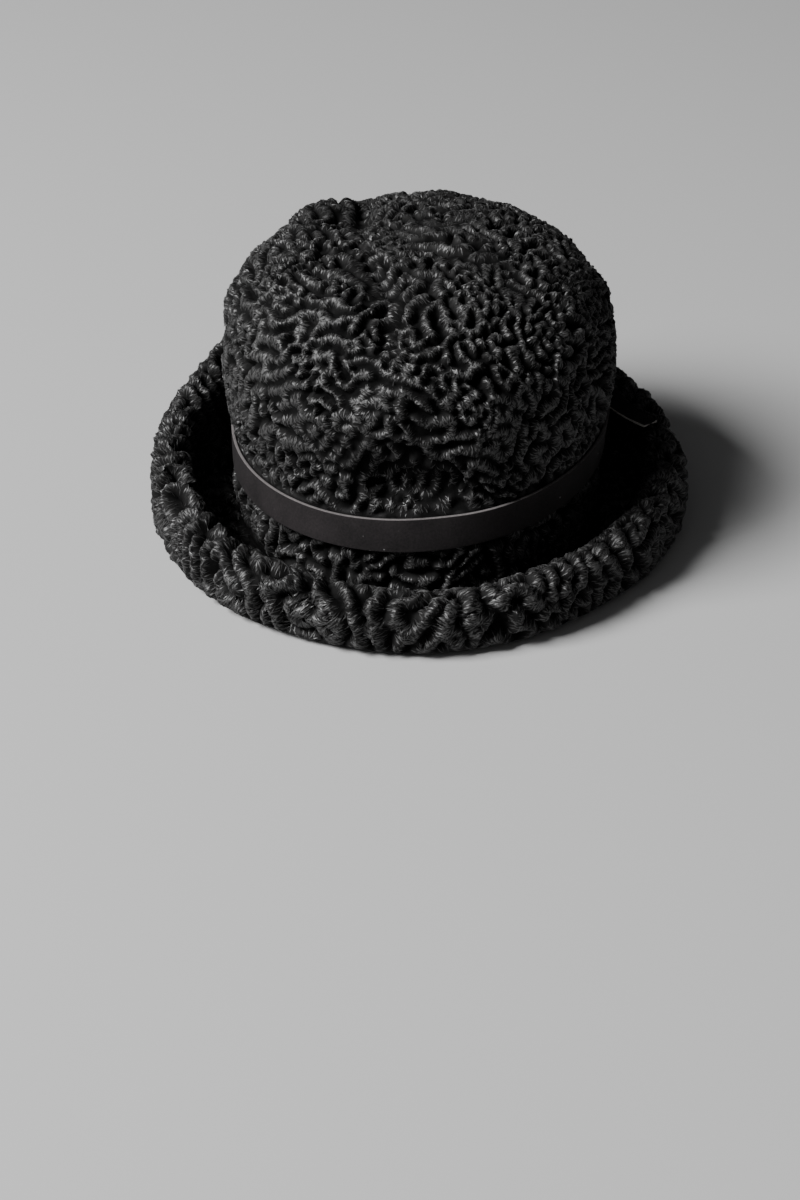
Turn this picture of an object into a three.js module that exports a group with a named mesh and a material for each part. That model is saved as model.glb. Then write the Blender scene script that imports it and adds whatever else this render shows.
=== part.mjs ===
// A black karakul-lamb hat: a domed crown of curled fur, a padded brim rolled up all round,
// and a narrow band round the crown whose free end lies across the gutter on the wearer's left.
// Millimetres, +Z up. The front faces -Y, the wearer's left is +X, and z = 0 is where the brim rests.
import * as THREE from 'three';

// Plan: every level of the hat is an oval, longer from front to back than from side to side
const OVAL_RATIO = 1.14;
const HEAD_HALF_WIDTH = 84;
const BRIM_HALF_WIDTH = 135.5;
const BRIM_HALF_LENGTH = 141;

// Crown: hide, base and fur pile together are one thick wall
const WALL = 7;
const CROWN_EDGE_Z = 6.7;
const CROWN_TOP_Z = 153.5;
const BULGE_Z = 88;
const BULGE_HALF_WIDTH = 96.5;
const WAIST_HALF_WIDTH = 92;
const DOME_POWER = 2.75;
const LEAN_BACK = Math.tan(THREE.MathUtils.degToRad(2.5));

// Band: a strip that follows the crown's waist
const BAND_WIDTH = 16.5;
const BAND_THICKNESS = 1.6;
const BAND_LOW_Z = 43.5;
const BAND_RISE_LEFT = 6.5;
const BAND_RISE_BACK = 5;
const WAIST_Z = BAND_LOW_Z + BAND_WIDTH / 2;
const SEWN_GAP = 0.5;

// Brim: a flat flange under the crown's edge, a gutter, and a stuffed roll that stands on its underside
const FLANGE_TOP_Z = 6.4;
const FLANGE_LIFT = 1.2;
const ROLL_THICKNESS = 23;

// How many facets go round the hat, and across each shape
const ROUND_STEPS = 72;
const SIDE_STEPS = 9;
const DOME_STEPS = 11;
const CURVE_STEPS = 4;
const BAND_STEPS = 2;

// The roll by the angle from +X towards the back: its top edge is lowest at the front and highest at the back,
// and the brim is drawn in a little on the wearer's left of the front
const ROLL_STATIONS = [
  { at: 'wearers_left', angle: 0, height: 43, drawnIn: -1.5 },
  { at: 'left_back', angle: 45, height: 49, drawnIn: 0 },
  { at: 'back', angle: 90, height: 57, drawnIn: 0 },
  { at: 'right_back', angle: 135, height: 62, drawnIn: -2 },
  { at: 'wearers_right', angle: 180, height: 44, drawnIn: 0 },
  { at: 'right_front', angle: 225, height: 34, drawnIn: 0 },
  { at: 'front', angle: 270, height: 31, drawnIn: 0 },
  { at: 'left_front', angle: 315, height: 33, drawnIn: 6 },
];

// The crease across the top of the crown, from the back to the front
const CREASE_REACH = 10;
const CROWN_CREASE = [
  { x: -28, y: 70, z: 142, depth: 5 },
  { x: -33, y: 32, z: 151, depth: 9 },
  { x: -33, y: 0, z: 153, depth: 6 },
  { x: -25, y: -35, z: 150, depth: 4.5 },
  { x: -15, y: -66, z: 138, depth: 2.5 },
];

// Broad hollows pressed into the crown, each along a line; a minus depth swells out
const CROWN_DENTS = [
  { name: 'front_hollow', from: [-16, -106, 77], to: [6, -106, 75], reach: 17, depth: 5 },
  { name: 'right_shoulder', from: [-70, 0, 130], to: [-60, -40, 130], reach: 40, depth: -3 },
];

// The largest gathers of the roll, by the angle from +X round towards the back
const ROLL_GATHERS = [
  { angle: 8, spread: 5, depth: 2.2 },
  { angle: 63, spread: 6, depth: 2.4 },
  { angle: 118, spread: 6, depth: 2.2 },
  { angle: 152, spread: 5, depth: 2.6 },
  { angle: 184, spread: 4, depth: 2.0 },
  { angle: 206, spread: 5, depth: 3.0 },
  { angle: 222, spread: 4, depth: 2.4 },
  { angle: 247, spread: 5, depth: 2.2 },
  { angle: 283, spread: 5, depth: 2.6 },
  { angle: 316, spread: 4, depth: 2.8 },
  { angle: 338, spread: 5, depth: 2.4 },
];

// The free end of the band: its middle line from the sewn root to the tip on the roll; lie 0 is on edge, 90 flat
const TAIL_ROUTE = [
  { x: 80.3, y: 63.4, z: 59.9, lie: 0 },
  { x: 85.4, y: 55.9, z: 58.0, lie: 6 },
  { x: 90.5, y: 48.2, z: 55, lie: 30 },
  { x: 98, y: 40.5, z: 50.4, lie: 60 },
  { x: 106, y: 31.8, z: 46.1, lie: 82 },
  { x: 113, y: 24.6, z: 44.4, lie: 90 },
  { x: 119, y: 18.6, z: 43.9, lie: 94 },
];
const TAIL_WIDTH = 10.5;
const TAIL_STEPS = 14;
const TAIL_THICKNESS = 1.4;

const BLACK_FUR = new THREE.MeshStandardMaterial({ color: 0x141414, roughness: 0.62, metalness: 0 });
const BLACK_BAND = new THREE.MeshStandardMaterial({ color: 0x1b1a1b, roughness: 0.8, metalness: 0 });

const smooth = (t) => THREE.MathUtils.smoothstep(t, 0, 1);

// Angle of a step round the hat, from +X round towards the back
function turnAt(step) {
  return (step / ROUND_STEPS) * 2 * Math.PI;
}

// Joins rings of points into one closed skin: ring after ring, and the last to the first where wrapped
function skin(rings, { wrapped = false, startPole = null, endPole = null } = {}) {
  const count = rings[0].length;
  const points = rings.flat();
  const faces = [];
  const joins = wrapped ? rings.length : rings.length - 1;
  for (let r = 0; r < joins; r++) {
    const here = r * count;
    const next = ((r + 1) % rings.length) * count;
    for (let i = 0; i < count; i++) {
      const j = (i + 1) % count;
      faces.push(here + i, here + j, next + j, here + i, next + j, next + i);
    }
  }
  if (startPole) {
    const pole = points.push(startPole) - 1;
    for (let i = 0; i < count; i++) faces.push(pole, (i + 1) % count, i);
  }
  if (endPole) {
    const pole = points.push(endPole) - 1;
    const last = (rings.length - 1) * count;
    for (let i = 0; i < count; i++) faces.push(pole, last + i, last + ((i + 1) % count));
  }
  const geometry = new THREE.BufferGeometry().setFromPoints(points);
  geometry.setIndex(faces);
  geometry.computeVertexNormals();
  return geometry;
}

// Crown

// Half-width of the crown's outside below the bulge: in at the waist, out again to the edge
function sideHalfWidth(z) {
  const end = z > WAIST_Z ? BULGE_Z : CROWN_EDGE_Z;
  const endHalfWidth = z > WAIST_Z ? BULGE_HALF_WIDTH : HEAD_HALF_WIDTH + WALL;
  const away = smooth((z - WAIST_Z) / (end - WAIST_Z));
  return THREE.MathUtils.lerp(WAIST_HALF_WIDTH, endHalfWidth, away);
}

function crownPoint(halfWidth, z, turn) {
  const lean = (z - CROWN_EDGE_Z) * LEAN_BACK;
  return new THREE.Vector3(
    halfWidth * Math.cos(turn),
    halfWidth * OVAL_RATIO * Math.sin(turn) + lean,
    z,
  );
}

// Where a point lies against a line: how far off, and how far along from 0 to 1
function besideLine(point, from, to) {
  const line = new THREE.Line3(from, to);
  const along = line.closestPointToPointParameter(point, true);
  return { off: line.at(along, new THREE.Vector3()).distanceTo(point), along };
}

// Depth of the crease at a point, from the stretch of it that lies nearest
function creaseDepth(point) {
  let nearest = { off: Infinity, depth: 0 };
  for (let i = 1; i < CROWN_CREASE.length; i++) {
    const [start, end] = [CROWN_CREASE[i - 1], CROWN_CREASE[i]];
    const { off, along } = besideLine(point, new THREE.Vector3().copy(start), new THREE.Vector3().copy(end));
    if (off < nearest.off) nearest = { off, depth: THREE.MathUtils.lerp(start.depth, end.depth, along) };
  }
  return nearest.depth * Math.exp(-((nearest.off / CREASE_REACH) ** 2));
}

// Presses a point towards the middle of the crown where the crease or a dent runs near it
function dented(point) {
  const inward = new THREE.Vector3(0, 0, BULGE_Z - 20).sub(point).normalize();
  let depth = creaseDepth(point);
  for (const dent of CROWN_DENTS) {
    const { off } = besideLine(point, new THREE.Vector3(...dent.from), new THREE.Vector3(...dent.to));
    depth += dent.depth * Math.exp(-((off / dent.reach) ** 2));
  }
  return point.addScaledVector(inward, depth);
}

// Rings of one face of the crown, from its edge up to just short of the top
function crownRings(inset) {
  const levels = [];
  for (let i = 0; i <= SIDE_STEPS; i++) {
    const z = THREE.MathUtils.lerp(CROWN_EDGE_Z, BULGE_Z, i / SIDE_STEPS);
    levels.push({ halfWidth: sideHalfWidth(z) - inset, z });
  }
  const rise = CROWN_TOP_Z - inset - BULGE_Z;
  for (let i = 1; i < DOME_STEPS; i++) {
    const slope = (i / DOME_STEPS) * (Math.PI / 2);
    levels.push({
      halfWidth: (BULGE_HALF_WIDTH - inset) * Math.cos(slope) ** (2 / DOME_POWER),
      z: BULGE_Z + rise * Math.sin(slope) ** (2 / DOME_POWER),
    });
  }
  return levels.map(({ halfWidth, z }) =>
    Array.from({ length: ROUND_STEPS }, (_, step) => dented(crownPoint(halfWidth, z, turnAt(step)))));
}

function makeCrown() {
  const outside = crownRings(0);
  const inside = crownRings(WALL).reverse();
  return skin([...inside, ...outside], {
    startPole: dented(crownPoint(0, CROWN_TOP_Z - WALL, 0)),
    endPole: dented(crownPoint(0, CROWN_TOP_Z, 0)),
  });
}

// Brim

// A column of the roll's table at an angle, eased from one row to the next
function rollAt(turn, column) {
  const place = (THREE.MathUtils.radToDeg(turn) / 360) * ROLL_STATIONS.length;
  const row = Math.floor(place);
  const here = ROLL_STATIONS[row % ROLL_STATIONS.length];
  const next = ROLL_STATIONS[(row + 1) % ROLL_STATIONS.length];
  return THREE.MathUtils.lerp(here[column], next[column], smooth(place - row));
}

// How far the gathers draw the roll in at an angle
function gatherDepth(turn) {
  const degrees = THREE.MathUtils.radToDeg(turn);
  return ROLL_GATHERS.reduce((sum, { angle, spread, depth }) => {
    const apart = Math.abs(((degrees - angle + 540) % 360) - 180);
    return sum + depth * Math.exp(-((apart / spread) ** 2));
  }, 0);
}

// Section of the brim in (reach, z): flat flange, flat resting strip, round roll, gutter
function brimSection(reach, height) {
  const rollIn = reach - ROLL_THICKNESS;
  const rest = [rollIn + 3, rollIn + 14];
  const crest = reach - ROLL_THICKNESS * 0.46;
  const waist = height * 0.5;
  const path = new THREE.Path();
  path.moveTo(0, FLANGE_LIFT);
  path.lineTo(rest[0] - 6, FLANGE_LIFT);
  path.lineTo(rest[0], 0);
  path.lineTo(rest[1], 0);
  path.bezierCurveTo(rest[1] + 7, 0, reach, waist * 0.45, reach, waist);
  path.bezierCurveTo(reach, waist * 1.6, crest + 8, height, crest, height);
  path.bezierCurveTo(crest - 8, height, rollIn + 2, height * 0.86, rollIn + 2, height * 0.62);
  path.bezierCurveTo(rollIn + 2, height * 0.42, rollIn - 1, FLANGE_TOP_Z, rollIn - 6, FLANGE_TOP_Z);
  path.lineTo(WALL, FLANGE_TOP_Z);
  path.lineTo(0, FLANGE_TOP_Z);
  return path.getPoints(CURVE_STEPS);
}

function makeBrim() {
  const headHalfLength = HEAD_HALF_WIDTH * OVAL_RATIO;
  const rings = [];
  for (let step = 0; step < ROUND_STEPS; step++) {
    const turn = turnAt(step);
    const across = (BRIM_HALF_WIDTH - HEAD_HALF_WIDTH) * Math.cos(turn);
    const along = (BRIM_HALF_LENGTH - headHalfLength) * Math.sin(turn);
    const spread = Math.hypot(across, along);
    const reach = spread - rollAt(turn, 'drawnIn');
    const gather = gatherDepth(turn);
    const ring = brimSection(reach, rollAt(turn, 'height') - gather * 0.6).map(({ x, y }) => {
      const onRoll = smooth((x - (reach - ROLL_THICKNESS)) / ROLL_THICKNESS);
      const out = (x - gather * onRoll * smooth(y / 12)) / spread;
      return new THREE.Vector3(
        HEAD_HALF_WIDTH * Math.cos(turn) + across * out,
        headHalfLength * Math.sin(turn) + along * out,
        y,
      );
    });
    rings.push(ring);
  }
  return skin(rings.reverse(), { wrapped: true });
}

// Band

// Point on the crown's outside, moved out by a distance, at a height that rises to the back and one side
function bandPoint(turn, height, out) {
  const level = height + BAND_RISE_LEFT * Math.cos(turn) + BAND_RISE_BACK * Math.sin(turn);
  return dented(crownPoint(sideHalfWidth(level) + out, level, turn));
}

function makeBand() {
  const outIn = SEWN_GAP;
  const outOut = SEWN_GAP + BAND_THICKNESS;
  const rings = Array.from({ length: ROUND_STEPS }, (_, step) => {
    const ring = [];
    for (let i = 0; i <= BAND_STEPS; i++) {
      ring.push(bandPoint(turnAt(step), BAND_LOW_Z + (BAND_WIDTH * i) / BAND_STEPS, outOut));
    }
    for (let i = BAND_STEPS; i >= 0; i--) {
      ring.push(bandPoint(turnAt(step), BAND_LOW_Z + (BAND_WIDTH * i) / BAND_STEPS, outIn));
    }
    return ring;
  });
  return skin(rings.reverse(), { wrapped: true });
}

// Band tail: a strip whose width starts upright against the band and turns flat across the gutter
function makeBandTail() {
  const route = new THREE.CatmullRomCurve3(TAIL_ROUTE.map(({ x, y, z }) => new THREE.Vector3(x, y, z)));
  const rings = [];
  for (let step = 0; step <= TAIL_STEPS; step++) {
    const t = step / TAIL_STEPS;
    const row = Math.min(Math.floor(t * (TAIL_ROUTE.length - 1)), TAIL_ROUTE.length - 2);
    const share = t * (TAIL_ROUTE.length - 1) - row;
    const lie = THREE.MathUtils.degToRad(
      THREE.MathUtils.lerp(TAIL_ROUTE[row].lie, TAIL_ROUTE[row + 1].lie, share),
    );
    const middle = route.getPoint(t);
    const ahead = route.getTangent(t);
    const level = new THREE.Vector3(0, 0, 1).cross(ahead).normalize();
    const upright = ahead.clone().cross(level);
    const wide = upright.clone().multiplyScalar(Math.cos(lie)).addScaledVector(level, Math.sin(lie));
    const thick = ahead.clone().cross(wide);
    const corner = (w, h) => middle.clone()
      .addScaledVector(wide, (w * TAIL_WIDTH) / 2)
      .addScaledVector(thick, (h * TAIL_THICKNESS) / 2);
    rings.push([corner(-1, -1), corner(1, -1), corner(1, 1), corner(-1, 1)]);
  }
  const middleOf = (ring) => ring.reduce((sum, p) => sum.add(p), new THREE.Vector3()).divideScalar(ring.length);
  return skin(rings, { startPole: middleOf(rings[0]), endPole: middleOf(rings[TAIL_STEPS]) });
}

function piece(name, geometry, material) {
  const mesh = new THREE.Mesh(geometry, material);
  mesh.name = name;
  return mesh;
}

const hat = new THREE.Group();
hat.add(
  piece('crown', makeCrown(), BLACK_FUR),
  piece('brim', makeBrim(), BLACK_FUR),
  piece('band', makeBand(), BLACK_BAND),
  piece('band_tail', makeBandTail(), BLACK_BAND),
);

// The origin is the middle of the hat's outline on the surface that it rests on
const box = new THREE.Box3().setFromObject(hat);
const middle = box.getCenter(new THREE.Vector3());
hat.position.set(-middle.x, -middle.y, -box.min.z);

export default hat;
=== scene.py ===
# %% [markdown]
# A black karakul hat. The pelt of a young lamb lies in tight curls: hair rolled into winding ridges
# with dark gaps between them. The frame gives four plain solids, and each one is dressed here:
# the crown and the brim get their curls as real relief with loose locks of hair over it, and the band
# and its free end become suede.

# %% Load the frame
import math

import bpy
import numpy as np
from mathutils import Matrix, Vector
from mathutils.bvhtree import BVHTree


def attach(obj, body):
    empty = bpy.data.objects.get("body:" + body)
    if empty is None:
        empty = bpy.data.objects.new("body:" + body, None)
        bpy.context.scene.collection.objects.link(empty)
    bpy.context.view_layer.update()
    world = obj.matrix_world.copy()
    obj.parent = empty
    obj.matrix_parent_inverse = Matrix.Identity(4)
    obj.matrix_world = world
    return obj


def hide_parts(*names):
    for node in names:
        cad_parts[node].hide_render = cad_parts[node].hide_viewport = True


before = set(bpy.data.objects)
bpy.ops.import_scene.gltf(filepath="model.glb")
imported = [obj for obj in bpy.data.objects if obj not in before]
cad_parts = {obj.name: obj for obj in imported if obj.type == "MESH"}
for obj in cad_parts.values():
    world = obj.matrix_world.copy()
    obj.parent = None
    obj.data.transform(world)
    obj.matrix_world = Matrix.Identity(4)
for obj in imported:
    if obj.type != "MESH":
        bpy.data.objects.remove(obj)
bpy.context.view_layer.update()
MM = 0.001
print("frame nodes:", sorted(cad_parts))

# %% [markdown]
# The camera stands in front of the hat and looks down on it at about thirty degrees, so that the
# gutter behind the front roll shows. It is placed first, because every later choice is judged in it.

# %% Camera
CAMERA_DOWN = math.radians(31.5)
CAMERA_ROLL = math.radians(0.7)
CAMERA_PLACE = (-9.1 * MM, -1033.5 * MM, 581.0 * MM)
LENS_MM = 69.0

bpy.ops.object.select_all(action="DESELECT")
bpy.ops.object.camera_add(location=CAMERA_PLACE)
camera = bpy.context.object
camera.name = "studio_camera"
turn_down = Matrix.Rotation(math.radians(90) - CAMERA_DOWN, 4, "X")
lean = Matrix.Rotation(CAMERA_ROLL, 4, "Z")
camera.matrix_world = Matrix.Translation(CAMERA_PLACE) @ turn_down @ lean
camera.data.lens = LENS_MM
camera.data.sensor_width = 36.0
camera.data.clip_start = 0.01
bpy.context.scene.camera = camera
print("camera at", [round(v, 3) for v in camera.location])

# %% [markdown]
# A finish is a handful of nodes. The small class below wraps a socket, so that shader maths can be
# written as plain expressions, and one method makes any other node.

# %% Shader helper


class Socket:
    def __init__(self, tree, link):
        self.tree = tree
        self.link = link

    def node(self, kind, settings=None, **sockets):
        made = self.tree.nodes.new(kind)
        for name, value in (settings or {}).items():
            setattr(made, name, value)
        for name, value in sockets.items():
            self.feed(made.inputs[name.replace("_", " ")], value)
        return made

    def feed(self, target, value):
        if isinstance(value, Socket):
            self.tree.links.new(value.link, target)
        else:
            target.default_value = value

    def math(self, operation, first, second):
        made = self.tree.nodes.new("ShaderNodeMath")
        made.operation = operation
        self.feed(made.inputs[0], first)
        self.feed(made.inputs[1], second)
        return Socket(self.tree, made.outputs[0])

    def __add__(self, other):
        return self.math("ADD", self, other)

    def __radd__(self, other):
        return self.math("ADD", other, self)

    def __sub__(self, other):
        return self.math("SUBTRACT", self, other)

    def __rsub__(self, other):
        return self.math("SUBTRACT", other, self)

    def __mul__(self, other):
        return self.math("MULTIPLY", self, other)

    def __rmul__(self, other):
        return self.math("MULTIPLY", other, self)

    def limited(self):
        return self.math("MAXIMUM", self.math("MINIMUM", self, 1.0), 0.0)


def new_finish(name):
    finish = bpy.data.materials.new(name)
    finish.use_nodes = True
    shader = finish.node_tree.nodes["Principled BSDF"]
    return finish, shader, Socket(finish.node_tree, None)


def out(node, name):
    return Socket(node.id_data, node.outputs[name])


def blend_colours(maker, share, first, second):
    mix = maker.node("ShaderNodeMix", {"data_type": "RGBA"})
    maker.feed(mix.inputs[0], share)
    maker.feed(mix.inputs[6], first)
    maker.feed(mix.inputs[7], second)
    return Socket(maker.tree, mix.outputs[2])


print("shader helper ready")

# %% [markdown]
# Every piece starts as a copy of its solid from the frame, because the solid already has the right
# size and place. The frame's mesh is loose triangles, so the copy is merged before it is worked on.

# %% Copies of the solids


def select_only(piece):
    bpy.ops.object.select_all(action="DESELECT")
    piece.select_set(True)
    bpy.context.view_layer.objects.active = piece


def copy_solid(node, name):
    piece = bpy.data.objects.new(name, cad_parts[node].data.copy())
    bpy.context.scene.collection.objects.link(piece)
    piece.data.materials.clear()
    select_only(piece)
    bpy.ops.object.mode_set(mode="EDIT")
    bpy.ops.mesh.select_all(action="SELECT")
    bpy.ops.mesh.remove_doubles(threshold=0.01 * MM)
    bpy.ops.mesh.tris_convert_to_quads()
    bpy.ops.object.mode_set(mode="OBJECT")
    return piece


def apply_modifier(piece, kind, **settings):
    select_only(piece)
    modifier = piece.modifiers.new(kind.lower(), kind)
    for name, value in settings.items():
        setattr(modifier, name, value)
    bpy.ops.object.modifier_apply(modifier=modifier.name)


def even_skin(node, name, cell):
    piece = copy_solid(node, name)
    apply_modifier(piece, "SUBSURF", levels=2, render_levels=2)
    apply_modifier(piece, "REMESH", mode="VOXEL", voxel_size=cell)
    print(name, "has", len(piece.data.vertices), "points")
    return piece


print("copy tools ready")

# %% [markdown]
# The curls are grown on the mesh itself. Each point holds a number. Blurring the numbers a little,
# taking away a wider blur and pushing the result towards plus or minus one, again and again, makes
# winding ridges of one width, the way that stripes form on an animal's coat. A blur that runs further
# along one direction lines the ridges up with it. The share says how loose the curls are at each point,
# and tight and loose are the steps of the two blurs. The last tool gives the ridges a rounded section.

# %% Curl growing tools
MOST_NEIGHBOURS = 10
RIDGE_CONTRAST = 2.6
HALF_ROUND = 0.5


def read_points(mesh, kind):
    values = np.empty(len(mesh.vertices) * 3, np.float32)
    mesh.vertices.foreach_get(kind, values)
    return values.reshape(-1, 3).astype(float)


def write_points(mesh, points):
    mesh.vertices.foreach_set("co", points.astype(np.float32).ravel())
    mesh.update()


def neighbour_table(mesh, furred):
    corner = np.empty(len(mesh.loops), np.int32)
    mesh.loops.foreach_get("vertex_index", corner)
    size = np.empty(len(mesh.polygons), np.int32)
    mesh.polygons.foreach_get("loop_total", size)
    start = np.empty(len(mesh.polygons), np.int32)
    mesh.polygons.foreach_get("loop_start", start)
    pairs = []
    for sides in np.unique(size[furred]):
        ring = corner[start[furred & (size == sides)][:, None] + np.arange(sides)]
        for step in range(1, sides // 2 + 1):
            pairs.append(np.stack([ring, np.roll(ring, -step, axis=1)], axis=2).reshape(-1, 2))
    own, pairs = np.unique(np.concatenate(pairs), return_inverse=True)
    pairs = pairs.reshape(-1, 2)
    count = len(own)
    pairs = np.concatenate([pairs, pairs[:, ::-1]]).astype(np.int64)
    pairs = np.unique(pairs[:, 0] * count + pairs[:, 1])
    first, second = pairs // count, pairs % count
    many = np.bincount(first, minlength=count)
    begin = np.concatenate([[0], np.cumsum(many)[:-1]])
    rank = np.arange(len(first)) - begin[first]
    kept = rank < MOST_NEIGHBOURS
    table = np.repeat(np.arange(count)[:, None], MOST_NEIGHBOURS, axis=1)
    table[first[kept], rank[kept]] = second[kept]
    return own, table


def blur_weights(points, table, along, pull):
    offset = points[table] - points[:, None]
    length = np.linalg.norm(offset, axis=2)
    real = length > 1e-9
    length = np.where(real, length, 1.0)
    alike = np.einsum("nki,ni->nk", offset, along) / length
    weight = np.where(real, (1 + pull[:, None] * (2 * alike**2 - 1)) / length**2, 0.0)
    return (weight / weight.sum(axis=1, keepdims=True)).astype(np.float32)


def blurred(values, table, weights, steps):
    for _ in range(steps):
        values = 0.5 * values + 0.5 * (weights * values[table]).sum(axis=1)
    return values


def waves(points, size, seed, count=20):
    draw = np.random.default_rng(seed)
    heading = draw.normal(size=(count, 3))
    heading /= np.linalg.norm(heading, axis=1, keepdims=True)
    length = size * draw.uniform(0.7, 1.5, size=(count, 1))
    phase = draw.uniform(0, 2 * math.pi, size=count)
    return np.cos(2 * math.pi * points @ (heading / length).T + phase).sum(axis=1) / math.sqrt(count / 2)


def smooth_step(low, high, values):
    share = np.clip((values - low) / (high - low), 0, 1)
    return share * share * (3 - 2 * share)


def grow_curls(start, table, weights, share, tight, loose, rounds):
    values = start.astype(np.float32)
    share = share.astype(np.float32)
    stops = sorted({*tight, *loose})
    for _ in range(rounds):
        kept, done, soft = {}, 0, values
        for stop in stops:
            soft = blurred(soft, table, weights, stop - done)
            kept[stop], done = soft, stop
        near = kept[tight[0]] * (1 - share) + kept[loose[0]] * share
        far = kept[tight[1]] * (1 - share) + kept[loose[1]] * share
        change = near - far
        values = np.tanh(RIDGE_CONTRAST * change / change.std()).astype(np.float32)
    return values


def tube_height(curls, table, weights, soften, tube_share, roundness=HALF_ROUND):
    ridges = blurred(curls, table, weights, soften)
    swing = np.sqrt(2 * blurred(ridges**2, table, weights, 4 * soften))
    off_top = np.arccos(np.clip(ridges / swing, -1, 1)) / math.pi
    return np.clip(1 - (off_top / tube_share) ** 2, 0, 1) ** roundness


print("curl tools ready")

# %% [markdown]
# The crown's shape is told by a few measures of the frame: where the band runs round it, how far it
# leans back and how thick its wall is. The outer wall gets the curls. The inner wall is plain hide, so
# it is thinned to a few large faces, which leaves the fine ones for the fur.

# %% Crown skin
CROWN_CELL = 1.1 * MM
OVAL_RATIO = 1.14
LEAN_BACK = math.tan(math.radians(2.5))
CROWN_EDGE = 6.7 * MM
BAND_LOW, BAND_WIDTH = 43.5 * MM, 16.5 * MM
BAND_RISE_LEFT, BAND_RISE_BACK = 6.5 * MM, 5.0 * MM
WAIST_HALF_WIDTH = 92 * MM
CROWN_HEART = 68 * MM
WALL = 7 * MM
INNER_SHARE_KEPT = 0.03

crown = even_skin("crown", "crown_fur", CROWN_CELL)


def from_heart(points):
    middle = np.zeros_like(points)
    middle[:, 1] = (points[:, 2] - CROWN_EDGE) * LEAN_BACK
    middle[:, 2] = np.minimum(points[:, 2], CROWN_HEART)
    return points - middle


def face_values(mesh, kind):
    values = np.empty(len(mesh.polygons) * 3, np.float32)
    mesh.polygons.foreach_get(kind, values)
    return values.reshape(-1, 3).astype(float)


def faces_outside(mesh):
    outward = from_heart(face_values(mesh, "center"))
    return (outward * face_values(mesh, "normal")).sum(axis=1) > 0


def thin_faces(piece, chosen, keep_share):
    select_only(piece)
    piece.data.polygons.foreach_set("select", chosen)
    piece.data.edges.foreach_set("select", np.zeros(len(piece.data.edges), bool))
    piece.data.vertices.foreach_set("select", np.zeros(len(piece.data.vertices), bool))
    bpy.ops.object.mode_set(mode="EDIT")
    bpy.ops.mesh.select_mode(type="FACE")
    bpy.ops.mesh.decimate(ratio=keep_share)
    bpy.ops.object.mode_set(mode="OBJECT")
    print(piece.name, "thinned to", len(piece.data.vertices), "points")


thin_faces(crown, ~faces_outside(crown.data), INNER_SHARE_KEPT)

# %% [markdown]
# A crease runs from the back over the top to the front, with a hump beside its back end, and just
# above the band the front is pressed in. Both walls of the crown follow. Lines and places are points
# on the crown in millimetres.

# %% Crease and hollow
CREASE_LINE = (
    (-26, 76, 138), (-29, 56, 144), (-33, 29, 145),
    (-28, -21, 148), (-16, -58, 145), (-17, -84, 135),
)
CREASE_REACH, CREASE_DEPTH = 5.5 * MM, 5.0 * MM
HUMP_LINE = ((-43, 64, 143), (-50, 48, 145))
HUMP_REACH, HUMP_HEIGHT = 13.0 * MM, 4.0 * MM
HOLLOW_LINE = ((-20, -103, 71), (10, -104, 70))
HOLLOW_REACH, HOLLOW_DEPTH = 10.5 * MM, 11.0 * MM


def near_line(points, line, reach):
    stops = np.array(line) * MM
    nearest = np.full(len(points), np.inf)
    for start, end in zip(stops[:-1], stops[1:]):
        share = np.clip((points - start) @ (end - start) / ((end - start) @ (end - start)), 0, 1)
        apart = np.linalg.norm(points - start - share[:, None] * (end - start), axis=1)
        nearest = np.minimum(nearest, apart)
    return np.exp(-((nearest / reach) ** 2))


dented = read_points(crown.data, "co")
inward = -from_heart(dented) / np.linalg.norm(from_heart(dented), axis=1, keepdims=True)
inner_wall = (inward * read_points(crown.data, "normal")).sum(axis=1) > 0
felt_at = dented - inward * (WALL * inner_wall)[:, None]
press = CREASE_DEPTH * near_line(felt_at, CREASE_LINE, CREASE_REACH)
press += HOLLOW_DEPTH * near_line(felt_at, HOLLOW_LINE, HOLLOW_REACH)
press -= HUMP_HEIGHT * near_line(felt_at, HUMP_LINE, HUMP_REACH)
write_points(crown.data, dented + inward * press[:, None])
print("crown pressed in by up to", round(press.max() / MM, 1), "mm")

# %% [markdown]
# Curls on the crown are small, five to eight millimetres from ridge to ridge, and looser on the
# wearer's right. They follow a slow swirl for a while and then turn. A second and finer pattern breaks
# each ridge into short frizzy lengths.

# %% Crown curls
CURL_STEPS = {"tight": (3, 12), "loose": (9, 31)}
FINE_STEPS = (2, 7)
FINE_SOFTEN, FINE_TUBE_SHARE = 2, 1.0
FINE_SHARE = {"crown": 0.3, "brim": 0.2}
CURL_ROUNDS = 12
CURL_PULL = 0.45
CURL_SOFTEN = 5
SWIRL_SIZE = 60 * MM
LOOSE_SIZE, LOOSE_RANGE = 30 * MM, (-0.8, 1.4)
RIGHT_SIDE, RIGHT_LOOSENESS = (30 * MM, 85 * MM), 0.35
TUBE_SHARE, TUBE_SPREAD, TUBE_SPREAD_SIZE = 0.78, 0.1, 24 * MM
CURL_ROUNDNESS = 0.6
SETTLE_ROUNDS = 4
CROWN_SEED = 7


def pelt(piece, furred):
    own, table = neighbour_table(piece.data, furred)
    points = read_points(piece.data, "co")[own]
    for _ in range(SETTLE_ROUNDS):
        points = 0.5 * points + 0.5 * points[table].mean(axis=1)
    whole = read_points(piece.data, "co")
    whole[own] = points
    write_points(piece.data, whole)
    normals = read_points(piece.data, "normal")[own]
    print(piece.name, "pelt of", len(own), "points")
    return own, table, points, normals


def unit(vectors):
    return vectors / np.maximum(np.linalg.norm(vectors, axis=1, keepdims=True), 1e-9)


def flat_part(vectors, normals):
    return unit(vectors - (vectors * normals).sum(axis=1, keepdims=True) * normals)


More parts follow.
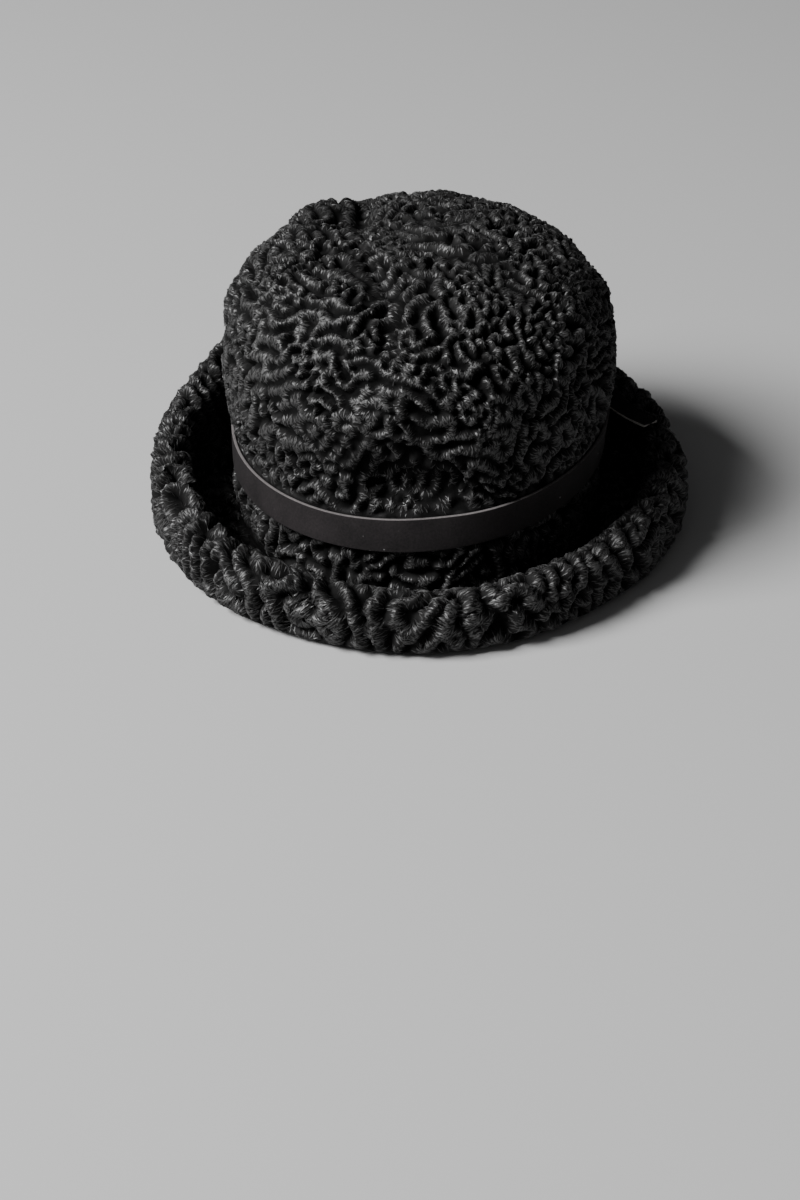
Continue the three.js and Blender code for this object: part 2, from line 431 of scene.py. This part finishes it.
def band_distance(points):
    back = (points[:, 1] - (points[:, 2] - CROWN_EDGE) * LEAN_BACK) / OVAL_RATIO
    reach = np.hypot(points[:, 0], back)
    low = BAND_LOW + (BAND_RISE_LEFT * points[:, 0] + BAND_RISE_BACK * back) / np.maximum(reach, 1e-6)
    return np.abs(points[:, 2] - low - BAND_WIDTH / 2) - BAND_WIDTH / 2


def frizz(points, table, own, fine_share, seed):
    weights = blur_weights(points, table, np.zeros_like(points), np.zeros(len(own)))
    start = np.random.default_rng(seed).normal(size=len(own))
    curls = grow_curls(start, table, weights, np.zeros(len(own)), FINE_STEPS, FINE_STEPS, CURL_ROUNDS)
    return 1 - fine_share + fine_share * tube_height(curls, table, weights, FINE_SOFTEN, FINE_TUBE_SHARE)


crown_own, crown_table, crown_points, crown_normals = pelt(crown, faces_outside(crown.data))
swirl = np.stack([waves(crown_points, SWIRL_SIZE, CROWN_SEED + i) for i in range(3)], axis=1)
swirl = flat_part(swirl, crown_normals)
crown_weights = blur_weights(crown_points, crown_table, swirl, np.full(len(crown_own), CURL_PULL))
looseness = smooth_step(*LOOSE_RANGE, waves(crown_points, LOOSE_SIZE, CROWN_SEED + 3))
looseness = np.clip(looseness + RIGHT_LOOSENESS * smooth_step(*RIGHT_SIDE, -crown_points[:, 0]), 0, 1)
crown_start = np.random.default_rng(CROWN_SEED).normal(size=len(crown_own))
crown_curls = grow_curls(
    crown_start, crown_table, crown_weights, looseness,
    CURL_STEPS["tight"], CURL_STEPS["loose"], CURL_ROUNDS,
)
tube_share = TUBE_SHARE + TUBE_SPREAD * waves(crown_points, TUBE_SPREAD_SIZE, CROWN_SEED + 6)
crown_ridges = tube_height(
    crown_curls, crown_table, crown_weights, CURL_SOFTEN, tube_share, CURL_ROUNDNESS
)
crown_frizz = frizz(crown_points, crown_table, crown_own, FINE_SHARE["crown"], CROWN_SEED + 10)
crown_height = crown_ridges * crown_frizz
least, most = float(crown_height.min()), float(crown_height.max())
print("crown curls of height", round(least, 2), "to", round(most, 2))

# %% [markdown]
# A ridge is round on top and falls steeply into the gap, and it leans over a little, as a rolled lock
# does. So each point moves out by the ridge's height and sideways along the lie of the pelt. Some
# places lie flatter, and under the band the fur is pressed flat. No gap goes right through the wall.

# %% Crown relief
CROWN_RELIEF = 5.4 * MM
LEVEL_SHARE = 0.8
PRESSED_SHARE = 0.04
FLAT_PATCH_SIZE, FLAT_PATCH_RANGE, FLAT_PATCH_SHARE = 40 * MM, (0.7, 1.5), 0.6
FLAT_PLACES = ((-18, -91, 115), (-58, 15, 140), (5, 17, 153))
FLAT_REACH, FLAT_PLACE_SHARE = 9 * MM, 0.75
BOLD_LEAST, BOLD_MIDDLE, BOLD_MOST = 0.45, 0.9, 1.25
BROAD_SWING, BROAD_SIZE = 0.2, 22 * MM
SMALL_SWING, SMALL_SIZE = 0.18, 9 * MM
BAND_CLEAR = 4.5 * MM
EDGE_CLEAR = (2.0 * MM, 9.0 * MM)
HOLLOW_FADE = (0.2, 0.65)
HOLLOW_SPREAD = 1.25
LUMP_SIZE, LUMP_HEIGHT = 30 * MM, 0.8 * MM
LEAN_SHARE = 0.35
FLOOR_GAP = 0.3 * MM
EASED_SHARE = 0.25
THIN_WALL = 3.0 * MM
LEAST_HIDE = 1.0 * MM


def wall_depth(mesh, points, normals):
    corners = [vertex.co for vertex in mesh.vertices]
    inside = ~faces_outside(mesh)
    faces = [tuple(face.vertices) for face, chosen in zip(mesh.polygons, inside) if chosen]
    inner = BVHTree.FromPolygons(corners, faces)
    found = [inner.ray_cast(Vector(point), Vector(-normal))[3] for point, normal in zip(points, normals)]
    return np.array([THIN_WALL if depth is None else depth for depth in found])


def raise_curls(piece, own, table, points, normals, rise, lie):
    moved = points + normals * rise[:, None] + lie * np.maximum(rise, 0)[:, None]
    moved = (1 - EASED_SHARE) * moved + EASED_SHARE * moved[table].mean(axis=1)
    moved[:, 2] = np.maximum(moved[:, 2], FLOOR_GAP)
    whole = read_points(piece.data, "co")
    whole[own] = moved
    write_points(piece.data, whole)
    print(piece.name, "relief", [round(float(v) / MM, 2) for v in (rise.min(), rise.max())], "mm")
    return moved, read_points(piece.data, "normal")[own]


in_crease = near_line(crown_points, CREASE_LINE, CREASE_REACH)
in_hollow = smooth_step(
    *HOLLOW_FADE, near_line(crown_points, HOLLOW_LINE, HOLLOW_SPREAD * HOLLOW_REACH)
)
flat_patches = smooth_step(*FLAT_PATCH_RANGE, waves(crown_points, FLAT_PATCH_SIZE, CROWN_SEED + 4))
flat_patches = 1 - FLAT_PATCH_SHARE * flat_patches
for x, y, z in FLAT_PLACES:
    flat_patches *= 1 - FLAT_PLACE_SHARE * near_line(crown_points, ((x, y, z), (x + 1, y, z)), FLAT_REACH)
off_band = smooth_step(0.0, BAND_CLEAR, band_distance(crown_points))
off_edge = smooth_step(*EDGE_CLEAR, crown_points[:, 2] - CROWN_EDGE)
broad_boldness = BROAD_SWING * waves(crown_points, BROAD_SIZE, CROWN_SEED + 8)
small_boldness = SMALL_SWING * waves(crown_points, SMALL_SIZE, CROWN_SEED + 9)
crown_bold = np.clip(BOLD_MIDDLE + broad_boldness + small_boldness, BOLD_LEAST, BOLD_MOST)
crown_relief = CROWN_RELIEF * crown_bold * flat_patches * off_edge
crown_relief *= PRESSED_SHARE + (1 - PRESSED_SHARE) * off_band
lumps = LUMP_HEIGHT * waves(crown_points, LUMP_SIZE, CROWN_SEED + 5) * off_band * off_edge
crown_rise = (crown_height - LEVEL_SHARE) * crown_relief + lumps
crown_rise = np.maximum(crown_rise, LEAST_HIDE - wall_depth(crown.data, crown_points, crown_normals))
crown_across = flat_part(np.cross(crown_normals, swirl), crown_normals)
crown_moved, crown_out = raise_curls(
    crown, crown_own, crown_table, crown_points, crown_normals, crown_rise, crown_across * LEAN_SHARE
)

# %% [markdown]
# The brim is stuffed and rolled. Down in the gutter its curls are as small as on the crown. The
# underside that the hat rests on is pressed flat, and the face that lies against the crown is never
# seen, so both are thinned to a few large faces.

# %% Brim skin
BRIM_CELL = 1.14 * MM
HEAD_HALF_WIDTH = 84 * MM
REST_HEIGHT = 2.5 * MM
HIDDEN_SHARE_KEPT = 0.05
CONTACT_OVERLAP = 1.5 * MM

brim = even_skin("brim", "brim_fur", BRIM_CELL)


def off_head(points):
    return np.hypot(points[:, 0], points[:, 1] / OVAL_RATIO) - HEAD_HALF_WIDTH


def brim_shows(mesh):
    centre = face_values(mesh, "center")
    return (centre[:, 2] > REST_HEIGHT) & (off_head(centre) > WALL - CONTACT_OVERLAP)


thin_faces(brim, ~brim_shows(brim.data), HIDDEN_SHARE_KEPT)
brim_own, brim_table, brim_points, brim_normals = pelt(brim, brim_shows(brim.data))

# %% [markdown]
# On the roll the pelt is drawn into plump folds, about twelve millimetres apart. They run across the
# roll, so the blur is pulled along the line from the gutter over it, with a slant that changes from
# place to place. Each fold leans to one side. Towards the wearer's left the gathers loosen into curls.

# %% Brim folds
BRIM_STEPS = {"tight": (5, 17), "loose": (17, 56)}
BRIM_ROUNDS = 6
FOLD_SOFTEN = 10
FOLD_PITCH = 12.5 * MM
ROLL_REACH = 137 * MM
BRIM_SEED = 21
FOLD_RELIEF = 10.0 * MM
GUTTER_RELIEF = 3.2 * MM
SMALL_RELIEF = 1.6 * MM
SLANT, SLANT_SIZE = 0.5, 80 * MM
FOLD_LEAN, FOLD_LEAN_SIZE = 0.5, 55 * MM
ROLL_START = (24 * MM, 33 * MM)
LOOSENS = (15 * MM, 65 * MM)
LEFT_SMALLER, LEFT_LOOSER = 0.5, 0.8
GUTTER_PULL, ROLL_PULL = 0.3, 0.5
NEAR_WARP, FAR_WARP = (2.6, 34 * MM), (3.0, 75 * MM)
START_NOISE, START_FOLDS = 1.4, 1.6
FOLD_SHARE, SMALL_SHARE = 0.95, 0.9
SMALL_LOOSENESS, SMALL_PULL = 0.3, 0.2
WANDER = {"middle": 0.85, "swing": 0.25, "size": 45 * MM, "least": 0.4, "most": 1.0}
SHARPNESS = {"middle": 0.8, "swing": 0.5, "size": 32 * MM, "least": 0.45, "most": 1.6}
FULLNESS = {"middle": 0.85, "swing": 0.3, "size": 30 * MM, "least": 0.45, "most": 1.2}
FLOOR_CLEAR = 6.5 * MM
CROWN_CLEAR = 4 * MM


def uneven(points, seed, middle, swing, size, least, most):
    return np.clip(middle + swing * waves(points, size, seed), least, most)


ring_way = unit(np.stack([-brim_points[:, 1], brim_points[:, 0], np.zeros(len(brim_own))], axis=1))
ring_way = flat_part(ring_way, brim_normals)
slant = SLANT * waves(brim_points, SLANT_SIZE, BRIM_SEED + 3)
across = unit(np.cross(ring_way, brim_normals) + ring_way * slant[:, None])
on_roll = smooth_step(*ROLL_START, off_head(brim_points))
wander = uneven(brim_points, BRIM_SEED + 1, **WANDER)
to_left = smooth_step(*LOOSENS, brim_points[:, 0])
fold_share = on_roll * wander * (1 - LEFT_SMALLER * to_left)
gathered = 1 - LEFT_LOOSER * to_left
pull = (GUTTER_PULL + ROLL_PULL * on_roll) * gathered
brim_weights = blur_weights(brim_points, brim_table, across, pull)
brim_start = np.random.default_rng(BRIM_SEED).normal(size=len(brim_own))
folds_each_side = round(math.pi * ROLL_REACH / FOLD_PITCH)
turns = np.arctan2(brim_points[:, 1], brim_points[:, 0]) * folds_each_side / math.pi
warp = NEAR_WARP[0] * waves(brim_points, NEAR_WARP[1], BRIM_SEED + 4)
warp = warp + FAR_WARP[0] * waves(brim_points, FAR_WARP[1], BRIM_SEED + 5)
folds = np.cos(2 * math.pi * turns + warp)
fold_start = START_NOISE * brim_start + START_FOLDS * folds * on_roll * gathered
brim_curls = grow_curls(
    fold_start, brim_table, brim_weights, fold_share, BRIM_STEPS["tight"], BRIM_STEPS["loose"], BRIM_ROUNDS
)
sharpness = uneven(brim_points, BRIM_SEED + 9, **SHARPNESS)
brim_folds = tube_height(brim_curls, brim_table, brim_weights, FOLD_SOFTEN, FOLD_SHARE, sharpness)
brim_height = brim_folds * frizz(brim_points, brim_table, brim_own, FINE_SHARE["brim"], BRIM_SEED + 7)
small_weights = blur_weights(brim_points, brim_table, ring_way, np.full(len(brim_own), SMALL_PULL))
small_curls = grow_curls(
    brim_start, brim_table, small_weights, SMALL_LOOSENESS * wander,
    BRIM_STEPS["tight"], BRIM_STEPS["loose"], BRIM_ROUNDS,
)
small_height = tube_height(small_curls, brim_table, small_weights, CURL_SOFTEN, SMALL_SHARE)
off_floor = smooth_step(REST_HEIGHT, FLOOR_CLEAR, brim_points[:, 2])
off_crown = smooth_step(WALL, WALL + CROWN_CLEAR, off_head(brim_points))
fullness = uneven(brim_points, BRIM_SEED + 6, **FULLNESS)
brim_relief = GUTTER_RELIEF + (FOLD_RELIEF - GUTTER_RELIEF) * fold_share * fullness
brim_relief = brim_relief * off_floor * off_crown
crinkle = SMALL_RELIEF * (small_height - LEVEL_SHARE) * on_roll * off_floor
fold_lean = FOLD_LEAN * waves(brim_points, FOLD_LEAN_SIZE, BRIM_SEED + 8)
brim_rise = (brim_height - LEVEL_SHARE) * brim_relief + crinkle
brim_moved, brim_out = raise_curls(
    brim, brim_own, brim_table, brim_points, brim_normals, brim_rise, ring_way * fold_lean[:, None]
)

# %% [markdown]
# Over the curls lie loose locks of hair. Each lock is a thin closed leaf that starts low on one side of
# a ridge, lies over its top and ends on the other side. Its ends are laid on the nearest skin, and its
# shading follows the skin below it with a small tilt of its own, so that neighbours can be told apart.

# %% Hair locks
LOCK_COUNT = {"dome_hair": 49000, "wall_hair": 10000, "brim_hair": 45000}
CROWN_LOCK, BRIM_LOCK = (2.0 * MM, 3.8 * MM), (3.0 * MM, 5.8 * MM)
LOCK_LENGTH = {"dome_hair": CROWN_LOCK, "wall_hair": CROWN_LOCK, "brim_hair": BRIM_LOCK}
LOCK_SEED = {"dome_hair": 31, "wall_hair": 32, "brim_hair": 33}
LOCK_WIDTH = (0.3 * MM, 0.65 * MM)
LOCK_TILT = 0.2
LOCK_TURN = 0.22
LOCK_SLIDE = 0.4 * MM
LOCK_LIFT = {"base": 0.02 * MM, "middle": 0.26 * MM, "tip": 0.12 * MM}
LIFT_RANGE, STRAY_RANGE = (0.4, 1.4), (0.2, 1)
STRAY_SHARE = 0.03
STRAY_LIFT = 1.2 * MM
SPREAD_ROUNDS, WAY_ROUNDS = 3, 6
SPREAD_SHARE = 0.6
CROWN_BARE, BRIM_BARE = 0.47, 0.3
HOLLOW_BARE, CREASE_BARE = 0.75, 0.6


def hair_finish(name):
    finish, shader, maker = new_finish(name)
    place = out(maker.node("ShaderNodeTexCoord"), "Object")
    patch = maker.node("ShaderNodeTexNoise", Vector=place, Scale=260.0, Detail=2.0)
    shader.inputs["Base Color"].default_value = (0.012, 0.0117, 0.0117, 1)
    maker.feed(shader.inputs["Roughness"], 0.44 + 0.26 * out(patch, "Fac"))
    shader.inputs["Specular IOR Level"].default_value = 0.75
    return finish


HAIR = hair_finish("loose_black_hair")


def ridge_crossing(height, points, normals, table, lie):
    offset = points[table] - points[:, None]
    square = np.maximum((offset**2).sum(axis=2), 1e-12)
    slope = (((height[table] - height[:, None]) / square)[:, :, None] * offset).sum(axis=1)
    spread = slope[:, :, None] * slope[:, None, :]
    for _ in range(SPREAD_ROUNDS):
        spread = (1 - SPREAD_SHARE) * spread + SPREAD_SHARE * spread[table].mean(axis=1)
    way = unit(slope + 1e-6)
    for _ in range(WAY_ROUNDS):
        way = unit(np.einsum("nij,nj->ni", spread, way))
    way = flat_part(way, normals)
    return way * np.where((way * lie).sum(axis=1, keepdims=True) < 0, -1.0, 1.0)


def laid_on(skin, points, lift):
    hits = [skin.find_nearest(Vector(point)) for point in points]
    place = np.array([hit[0] for hit in hits])
    outward = np.array([hit[1] for hit in hits])
    return place + outward * lift[:, None], outward


def hair_locks(name, piece, points, normals, way, likely):
    count = LOCK_COUNT[name]
    draw = np.random.default_rng(LOCK_SEED[name])
    skin = BVHTree.FromObject(piece, bpy.context.evaluated_depsgraph_get())
    root = draw.choice(len(points), count, p=likely / likely.sum())
    up = normals[root]
    turn = draw.normal(0, LOCK_TURN, size=(count, 1))
    along = unit(way[root] * np.cos(turn) + np.cross(up, way[root]) * np.sin(turn))
    slide = draw.uniform(-LOCK_SLIDE, LOCK_SLIDE, size=(count, 2))
    side = np.cross(up, along)
    centre = points[root] + along * slide[:, :1] + side * slide[:, 1:]
    half = draw.uniform(*LOCK_LENGTH[name], size=(count, 1)) / 2
    lift = draw.uniform(*LIFT_RANGE, size=(3, count))
    stray = (draw.random(count) < STRAY_SHARE) * draw.uniform(*STRAY_RANGE, size=count) * STRAY_LIFT
    base, base_out = laid_on(skin, centre - along * half, LOCK_LIFT["base"] * lift[0])
    middle, _ = laid_on(skin, centre, LOCK_LIFT["middle"] * lift[1])
    tip, tip_out = laid_on(skin, centre + along * half, LOCK_LIFT["tip"] * lift[2] + stray)
    flat = side * draw.uniform(*LOCK_WIDTH, size=(count, 1)) / 2
    corners = np.stack([base, middle + flat, middle - flat, tip], axis=1)
    tilt = side * np.tan(draw.normal(0, LOCK_TILT, size=(count, 1)))
    facing = np.stack([unit(way_out + tilt) for way_out in (base_out, up, up, tip_out)], axis=1)
    faces = np.array([[0, 2, 1], [3, 1, 2], [0, 1, 3], [0, 3, 2]])
    faces = (faces[None] + 4 * np.arange(count)[:, None, None]).reshape(-1, 3)
    mesh = bpy.data.meshes.new(name)
    mesh.from_pydata(corners.reshape(-1, 3), [], faces, shade_flat=False)
    mesh.normals_split_custom_set_from_vertices(facing.reshape(-1, 3))
    mesh.materials.append(HAIR)
    made = bpy.data.objects.new(name, mesh)
    bpy.context.scene.collection.objects.link(made)
    print(name, "has", count, "locks")
    return made


above_band = crown_points[:, 2] > BAND_LOW + BAND_WIDTH / 2
crown_likely = np.maximum(crown_height - CROWN_BARE, 0) * off_band * off_edge
crown_likely *= (1 - HOLLOW_BARE * in_hollow) * (1 - CREASE_BARE * in_crease)
crown_way = ridge_crossing(crown_ridges, crown_moved, crown_out, crown_table, crown_across)
brim_likely = np.maximum(brim_height - BRIM_BARE, 0) * off_floor * off_crown
brim_way = ridge_crossing(brim_folds, brim_moved, brim_out, brim_table, ring_way)
dome_hair = hair_locks("dome_hair", crown, crown_moved, crown_out, crown_way, crown_likely * above_band)
wall_hair = hair_locks("wall_hair", crown, crown_moved, crown_out, crown_way, crown_likely * ~above_band)
brim_hair = hair_locks("brim_hair", brim, brim_moved, brim_out, brim_way, brim_likely)

# %% [markdown]
# Where a curl's height is kept on the mesh, the finish can use it: hair on top of a curl is glossy, and
# the gap beside it is matt and painted darker, as painted shade. The hollow above the band gets painted
# shade too.

# %% Fur finish
HOLLOW_PAINTED_SHADE = 0.95


def keep_height(piece, own, height):
    whole = np.zeros(len(piece.data.vertices), np.float32)
    whole[own] = height
    layer = piece.data.attributes.new("curl_height_and_shade", "FLOAT", "POINT")
    layer.data.foreach_set("value", whole)


# Painted shade: in the hollow above the band the kept height is lowered, so the fur's colour there is
# darker.
keep_height(crown, crown_own, crown_height * (1 - HOLLOW_PAINTED_SHADE * in_hollow))
keep_height(brim, brim_own, brim_height)


def fur_finish(name):
    finish, shader, maker = new_finish(name)
    height = out(maker.node("ShaderNodeAttribute", {"attribute_name": "curl_height_and_shade"}), "Fac")
    place = out(maker.node("ShaderNodeTexCoord"), "Object")
    hair = maker.node("ShaderNodeTexNoise", Vector=place, Scale=1300.0, Detail=3.0, Roughness=0.6)
    broad = maker.node("ShaderNodeTexNoise", Vector=place, Scale=45.0, Detail=2.0)
    # Painted shade: the base colour darkens from the top of each curl down into the gap, mixed with random
    # hair tone.
    tone = (height * 0.8 + out(hair, "Fac") * 0.4 - 0.2).limited()
    colour = blend_colours(maker, tone, (0.0008, 0.0008, 0.0008, 1), (0.009, 0.0087, 0.0087, 1))
    maker.feed(shader.inputs["Base Color"], colour)
    maker.feed(shader.inputs["Roughness"], 0.95 - 0.48 * height + 0.12 * (out(broad, "Fac") - 0.5))
    bump = maker.node("ShaderNodeBump", Strength=0.6, Distance=0.3 * MM, Height=out(hair, "Fac"))
    maker.feed(shader.inputs["Normal"], out(bump, "Normal"))
    shader.inputs["Specular IOR Level"].default_value = 0.1
    return finish


FUR = fur_finish("curled_black_fur")
for piece in (crown, brim):
    piece.data.materials.append(FUR)
    select_only(piece)
    bpy.ops.object.shade_smooth()
print("fur finish on", crown.name, "and", brim.name)

# %% [markdown]
# The crown's pelt is one skin, and it is cut in two under the band, where the cut never shows: the dome
# above and the wall below. Each part is a closed shell.

# %% Dome and wall


def cut_crown(name, keep_upper):
    piece = bpy.data.objects.new(name, crown.data.copy())
    bpy.context.scene.collection.objects.link(piece)
    select_only(piece)
    bpy.ops.object.mode_set(mode="EDIT")
    bpy.ops.mesh.select_all(action="SELECT")
    tilt = (-BAND_RISE_LEFT / WAIST_HALF_WIDTH, -BAND_RISE_BACK / (WAIST_HALF_WIDTH * OVAL_RATIO), 1.0)
    bpy.ops.mesh.bisect(
        plane_co=(0, 0, BAND_LOW + BAND_WIDTH / 2), plane_no=tilt, use_fill=True,
        clear_inner=keep_upper, clear_outer=not keep_upper,
    )
    bpy.ops.object.mode_set(mode="OBJECT")
    triangles = sum(len(face.vertices) - 2 for face in piece.data.polygons)
    print(name, "has", triangles, "triangles")
    return piece


dome = cut_crown("crown_dome", True)
wall = cut_crown("crown_wall", False)
bpy.data.objects.remove(crown)

# %% [markdown]
# The band is a strip of suede with cut edges. Its corners get a small round before it is smoothed, so
# that the strip keeps its thickness. The cut edge on top is paler, partly its own colour and partly a
# painted highlight, so that it shows as a thin lit line. The cut edges of the loose end are painted much
# paler still, as a painted highlight where it lies in shade. A few specks of dust lie on the nap.

# %% Band and its end
EDGE_ROUND = 0.3 * MM
CUT_FACE = 2.2 * MM


def suede_finish(name, dark, pale):
    finish, shader, maker = new_finish(name)
    place = out(maker.node("ShaderNodeTexCoord"), "Object")
    nap = maker.node("ShaderNodeTexNoise", Vector=place, Scale=900.0, Detail=4.0, Roughness=0.7)
    cloud = maker.node("ShaderNodeTexNoise", Vector=place, Scale=60.0, Detail=2.0)
    dust = maker.node("ShaderNodeTexVoronoi", Vector=place, Scale=300.0)
    chance = out(maker.node("ShaderNodeSeparateColor", Color=out(dust, "Color")), "Red")
    speck = (1.0 - out(dust, "Distance") * 6.0).limited() * ((chance - 0.9) * 12.0).limited()
    tone = (out(nap, "Fac") * 1.6 + out(cloud, "Fac") * 0.8 - 0.75).limited()
    colour = blend_colours(maker, tone, dark, pale)
    dusty = blend_colours(maker, speck, colour, (0.3, 0.3, 0.3, 1))
    maker.feed(shader.inputs["Base Color"], dusty)
    maker.feed(shader.inputs["Roughness"], 0.8 + 0.2 * out(nap, "Fac"))
    bump = maker.node("ShaderNodeBump", Strength=0.7, Distance=0.25 * MM, Height=out(nap, "Fac"))
    maker.feed(shader.inputs["Normal"], out(bump, "Normal"))
    shader.inputs["Specular IOR Level"].default_value = 0.2
    return finish


SUEDE = suede_finish("black_suede", (0.0015, 0.0012, 0.0013, 1), (0.0155, 0.0128, 0.0136, 1))
# Painted highlight: the loose end's cut edges are very pale, so that they show as light lines in the
# shade.
TAIL_EDGE_HIGHLIGHT = suede_finish("tail_edge_painted_highlight", (0.3, 0.29, 0.27, 1), (0.5, 0.48, 0.45, 1))
# Partly painted highlight: the band's cut edges are paler than the suede, so the top one shows as a thin
# lit line.
CUT_EDGE_AND_HIGHLIGHT = suede_finish("cut_suede_edge_and_highlight", (0.06, 0.055, 0.055, 1), (0.13, 0.12, 0.12, 1))


def suede_strip(node, name, edge_finish):
    piece = copy_solid(node, name)
    piece.data.materials.append(SUEDE)
    piece.data.materials.append(edge_finish)
    corners = piece.data.vertices
    for face in piece.data.polygons:
        sides = [(corners[a].co - corners[b].co).length for a, b in face.edge_keys]
        face.material_index = int(min(sides) < CUT_FACE)
    apply_modifier(
        piece, "BEVEL", width=EDGE_ROUND, segments=2, limit_method="ANGLE", angle_limit=math.radians(50)
    )
    apply_modifier(piece, "SUBSURF", levels=2, render_levels=2)
    select_only(piece)
    bpy.ops.object.shade_smooth()
    print(name, "has", len(piece.data.polygons), "faces")
    return piece


band = suede_strip("band", "band_suede", CUT_EDGE_AND_HIGHLIGHT)
band_tail = suede_strip("band_tail", "band_tail_suede", TAIL_EDGE_HIGHLIGHT)

# %% [markdown]
# A plain pale floor and soft studio light: a broad lamp high on the left of the picture, so that every
# ridge shows its lit side, and a wide weak one in front.

# %% Floor and light
FLOOR_SIZE = 8.0
bpy.ops.object.select_all(action="DESELECT")
bpy.ops.mesh.primitive_plane_add(size=FLOOR_SIZE)
floor = bpy.context.object
floor.name = "studio_floor"
floor_finish, floor_shader, _ = new_finish("pale_floor")
floor_shader.inputs["Base Color"].default_value = (0.34, 0.34, 0.34, 1)
floor_shader.inputs["Roughness"].default_value = 0.9
floor.data.materials.append(floor_finish)


def area_light(name, place, target, size, power):
    bpy.ops.object.light_add(type="AREA", location=place)
    lamp = bpy.context.object
    lamp.name = name
    lamp.data.size = size
    lamp.data.energy = power
    lamp.rotation_euler = (Vector(target) - Vector(place)).to_track_quat("-Z", "Y").to_euler()


area_light("key_light", place=(-2.4, -1.05, 2.4), target=(0, 0, 0.07), size=1.5, power=380)
area_light("fill_light", place=(-0.8, -3.5, 2.0), target=(0, 0, 0.05), size=3.0, power=15)
world = bpy.context.scene.world or bpy.data.worlds.new("studio_world")
bpy.context.scene.world = world
world.use_nodes = True
world.node_tree.nodes["Background"].inputs["Color"].default_value = (0.8, 0.8, 0.82, 1)
world.node_tree.nodes["Background"].inputs["Strength"].default_value = 0.07
print("studio ready")

# %% [markdown]
# Every piece rides on the one body and stands for the solid that it dresses.

# %% Hand over
for piece in (dome, wall, dome_hair, wall_hair, brim, brim_hair):
    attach(piece, "root")
    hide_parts("brim" if piece in (brim, brim_hair) else "crown")
for piece, node in ((band, "band"), (band_tail, "band_tail")):
    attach(piece, "root")
    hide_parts(node)
